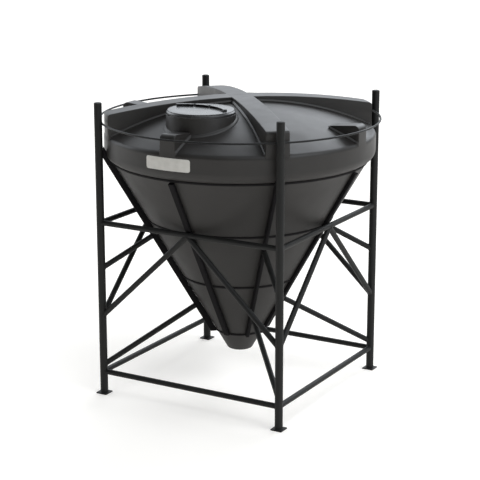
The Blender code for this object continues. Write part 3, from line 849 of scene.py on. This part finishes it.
SUNK_IN_LID = 0.002
HANDLE_CENTRE = MANWAY + (-0.035, -0.259)
HANDLE_RADII = (0.360, 0.390)
HANDLE_SPAN = (-38.2, 46.8)
HANDLE_TOP = 2.6374
HANDLE_BORDER = 0.0025
HANDLE_EDGE = 0.002
HANDLE_END = 0.15
POCKETS = ((-37.5, -15.5), (-12.1, 6.6), (10.2, 45.8))
POCKET_DEPTH = 0.024
POCKET_DRAFT = 0.0003
WEB_START = 0.2
WEB_LEAN = 0.025


def handle():
    """A curved bar: its section carried along an arc, pressed in at the front along each pocket.

    Each station holds an angle, the pocket's depth there and the lean. Between two pockets the web
    leans back: the front's points move in with their height.
    """
    near, far = HANDLE_RADII
    low, high = LID_TOP - SUNK_IN_LID, HANDLE_TOP
    wall = np.degrees(POCKET_DRAFT / near)
    first, last = HANDLE_SPAN
    stations = [(first, 0, 0), (first + HANDLE_END, 0, 0)]
    for number, (start, end) in enumerate(POCKETS):
        if number:
            stations += [(POCKETS[number - 1][1] + WEB_START, 0, WEB_LEAN),
                         (start - WEB_START, 0, WEB_LEAN)]
        inside = (start + wall, *np.linspace(start, end, 9)[1:-1], end - wall)
        stations += [(start, 0, 0)] + [(place, POCKET_DEPTH, 0) for place in inside] + [(end, 0, 0)]
    angle, depth, lean = np.array(stations + [(last - HANDLE_END, 0, 0), (last, 0, 0)]).T[..., None]
    draw_in = np.where((angle == first) | (angle == last), HANDLE_EDGE, 0.0)
    section = np.array([(near, low), (near, LID_TOP + HANDLE_BORDER), (near, LID_TOP + HANDLE_BORDER),
                        (near, high - HANDLE_BORDER), (near, high - HANDLE_BORDER)]
                       + arc((near + HANDLE_EDGE, high - HANDLE_EDGE), HANDLE_EDGE, 180, 90, 3)
                       + arc((far - HANDLE_EDGE, high - HANDLE_EDGE), HANDLE_EDGE, 90, 0, 3)
                       + [(far, low)])
    in_pocket = np.zeros(len(section))
    in_pocket[2:4] = 1
    face = np.sign(section[:, 0] - (near + far) / 2)
    risen = (section[:, 1] - low) / (high - low) * (face < 0)
    rho = section[:, 0] + depth * in_pocket + lean * risen - draw_in * face
    z = section[:, 1] - draw_in * (section[:, 1] > (low + high) / 2)
    turn = np.radians(90 - angle) + 0 * rho
    x, y = HANDLE_CENTRE[0] + rho * np.cos(turn), HANDLE_CENTRE[1] + rho * np.sin(turn)
    return carried(np.stack([x, y, z], -1))


PIN_RADIUS = 0.006
PIN_TOP = 2.6366
PIN_CROWN = 0.003
PIN_REACH = 0.355
PIN_TURN = np.radians(49.6)
PIN_AT = HANDLE_CENTRE + PIN_REACH * np.array([np.sin(PIN_TURN), np.cos(PIN_TURN)])
pin = [(PIN_RADIUS, LID_TOP - SUNK_IN_LID), (PIN_RADIUS, PIN_TOP - PIN_CROWN)]
pin += [(PIN_RADIUS * np.cos(a), PIN_TOP - PIN_CROWN + PIN_CROWN * np.sin(a))
        for a in np.radians((30, 60, 80))]
piece("hatch_lid_moulding", [lid_body(), handle(), turned(pin, 20, PIN_AT)], lid_skin,
      ["hatch_lid"])

# Label plate
# A thin plastic plate is glued to the upright wall below the hatch, and it is left bare.
# It is pale, satin and slightly dusty.

DUST_SPOT = 0.06
FILM_GRAIN = 0.004
FILM_GRAIN_DEPTH = 0.0003


def label_film():
    """Pale satin film: nearly even, with faint patches of dust and a very fine grain."""
    finish, tree, shader = blank_finish("pale satin label film")
    place = node(tree, "ShaderNodeTexCoord").outputs["Object"]
    dust = node(tree, "ShaderNodeTexNoise", [("Vector", place)], Scale=1 / DUST_SPOT, Detail=4.0)
    grain = node(tree, "ShaderNodeTexNoise", [("Vector", place)], Scale=1 / FILM_GRAIN, Detail=1.0)
    tone = two_tones(tree, dust, "#b9b7b1", "#c3c1bb", 0.35, 0.65)
    relief = node(tree, "ShaderNodeBump", [("Height", grain.outputs["Fac"])],
                  Strength=0.1, Distance=FILM_GRAIN_DEPTH)
    tree.links.new(tone, shader.inputs["Base Color"])
    tree.links.new(relief.outputs["Normal"], shader.inputs["Normal"])
    shader.inputs["Roughness"].default_value = 0.45
    return finish


LABEL_HALF_ANGLE = np.radians(10.1)
LABEL_LEVELS = (2.192, 2.299)
LABEL_THICKNESS = 0.0025
LABEL_CORNER = 0.020
LABEL_EDGE = 0.0005
LABEL_SUNK = 0.001


def label_plate():
    """A thin section carried round the wall, its height drawn in by the plate's rounded corners."""
    half = LABEL_HALF_ANGLE * WALL_RADIUS
    corner = LABEL_CORNER * (1 - np.cos(np.radians(np.linspace(4, 90, 8))))
    middle = np.linspace(-half + LABEL_CORNER, half - LABEL_CORNER, 31)[1:-1]
    place = np.concatenate([-half + corner, middle, half - corner[::-1]])
    from_end = np.maximum(LABEL_CORNER - (half - np.abs(place)), 0)
    draw_in = (LABEL_CORNER - np.sqrt(LABEL_CORNER ** 2 - from_end ** 2))[:, None]
    low, high = LABEL_LEVELS
    face, edge = LABEL_THICKNESS, LABEL_THICKNESS - LABEL_EDGE
    depth = np.array([-LABEL_SUNK, edge, face, face, edge, -LABEL_SUNK])
    lift = np.array([0, 0, LABEL_EDGE, -LABEL_EDGE, 0, 0])
    upper = np.array([0, 0, 0, 1, 1, 1])
    z = np.where(upper, high - draw_in, low + draw_in) + lift
    angle = (place / WALL_RADIUS - np.pi / 2)[:, None] + 0 * z
    radius = WALL_RADIUS + depth + 0 * z
    return carried(np.stack([radius * np.cos(angle), radius * np.sin(angle), z], -1))


piece("label_plate", [label_plate()], label_film())

# Floor
# A level sheet of matt white studio paper, on which the stand's plates rest.
# It reaches far past the picture, so that no view from above shows its edge.

PAPER_CLOUD = 0.5


def studio_white():
    """Matt white paper, with a slight glow so that it stays white far from the lights."""
    finish, tree, shader = blank_finish("matt white studio paper")
    place = node(tree, "ShaderNodeTexCoord").outputs["Object"]
    fibre = node(tree, "ShaderNodeTexNoise", [("Vector", place)], Scale=1 / PAPER_CLOUD, Detail=2.0)
    tree.links.new(two_tones(tree, fibre, "#f0ebe4", "#f3eee7"), shader.inputs["Base Color"])
    shader.inputs["Roughness"].default_value = 0.9
    shader.inputs["Emission Color"].default_value = (1.0, 0.985, 0.96, 1.0)
    shader.inputs["Emission Strength"].default_value = 0.25
    return finish


FLOOR_HALF = 200.0
FLOOR_STEPS = 13
FLOOR_LEVEL = -0.0002
side_steps = np.linspace(-FLOOR_HALF, FLOOR_HALF, FLOOR_STEPS)
floor_x, floor_y = np.meshgrid(side_steps, side_steps)
floor_points = np.stack([floor_x, floor_y, np.full_like(floor_x, FLOOR_LEVEL)], -1).reshape(-1, 3)
index = np.arange(len(floor_points)).reshape(floor_x.shape)
floor_faces = np.stack([index[:-1, :-1], index[:-1, 1:], index[1:, 1:], index[1:, :-1]], -1)
floor_mesh = bpy.data.meshes.new("studio_floor")
floor_mesh.from_pydata(floor_points.tolist(), [], floor_faces.reshape(-1, 4).tolist())
floor_mesh.materials.append(studio_white())
floor = bpy.data.objects.new("studio_floor", floor_mesh)
bpy.context.scene.collection.objects.link(floor)

# Light
# The studio is hung with large lit cloths: the brightest behind the tank and to its right, softer ones
# on the left and one high in front. Each is a round patch of light that fades toward its edge.

CLOTHS = (
    # azimuth from the front toward the right, elevation, spread exponent, strength
    (75, 10, 10, 0.80),
    (-105, 10, 10, 1.20),
    (-95, 24, 25, 3.00),
    (-150, 26, 25, 1.30),
    (180, 26, 25, 3.90),
    (165, 30, 25, 2.40),
    (-120, 26, 25, 1.50),
    (-165, 42, 25, 3.40),
    (-135, 42, 25, 0.40),
    (90, 45, 10, 0.60),
    (88, 40, 25, 4.00),
    (110, 30, 25, 1.00),
    (110, 66, 25, 2.00),
    (30, 64, 25, 2.40),
    (-150, 11, 110, 1.40),
)
STUDIO_TINT = (0.935, 0.98, 1.035, 1.0)
world = bpy.data.worlds.new("studio")
world.use_nodes = True
bpy.context.scene.world = world
studio = world.node_tree
looking = node(studio, "ShaderNodeTexCoord").outputs["Generated"]
glow = None
for azimuth, elevation, exponent, strength in CLOTHS:
    turn, tilt = np.radians(azimuth), np.radians(elevation)
    facing = node(studio, "ShaderNodeVectorMath", [(0, looking)], operation="DOT_PRODUCT")
    facing.inputs[1].default_value = (np.sin(turn) * np.cos(tilt), -np.cos(turn) * np.cos(tilt),
                                      np.sin(tilt))
    ahead = node(studio, "ShaderNodeMath", [(0, facing.outputs["Value"])], operation="MAXIMUM")
    ahead.inputs[1].default_value = 0.0
    patch = node(studio, "ShaderNodeMath", [(0, ahead.outputs["Value"])], operation="POWER")
    patch.inputs[1].default_value = exponent
    added = node(studio, "ShaderNodeMath", [(0, patch.outputs["Value"])], operation="MULTIPLY_ADD")
    added.inputs[1].default_value = strength
    added.inputs[2].default_value = 0.0
    if glow:
        studio.links.new(glow, added.inputs[2])
    glow = added.outputs["Value"]
studio.nodes["Background"].inputs["Color"].default_value = STUDIO_TINT
studio.links.new(glow, studio.nodes["Background"].inputs["Strength"])

# Camera
# The picture is taken from 30 degrees to the right of the front, looking down by about 15 degrees.

CAMERA_AT = (6.747, -11.686, 4.913)
LOOKING_DOWN = 14.87
TO_THE_RIGHT = 30
FILM_WIDTH = 36.0
LENS_LENGTH = 116.69
bpy.context.scene.view_settings.view_transform = "Standard"
eye = bpy.data.cameras.new("catalogue_camera")
eye.sensor_width = FILM_WIDTH
eye.lens = LENS_LENGTH
camera = bpy.data.objects.new("catalogue_camera", eye)
bpy.context.scene.collection.objects.link(camera)
camera.location = CAMERA_AT
camera.rotation_euler = np.radians((90 - LOOKING_DOWN, 0, TO_THE_RIGHT))
bpy.context.scene.camera = camera
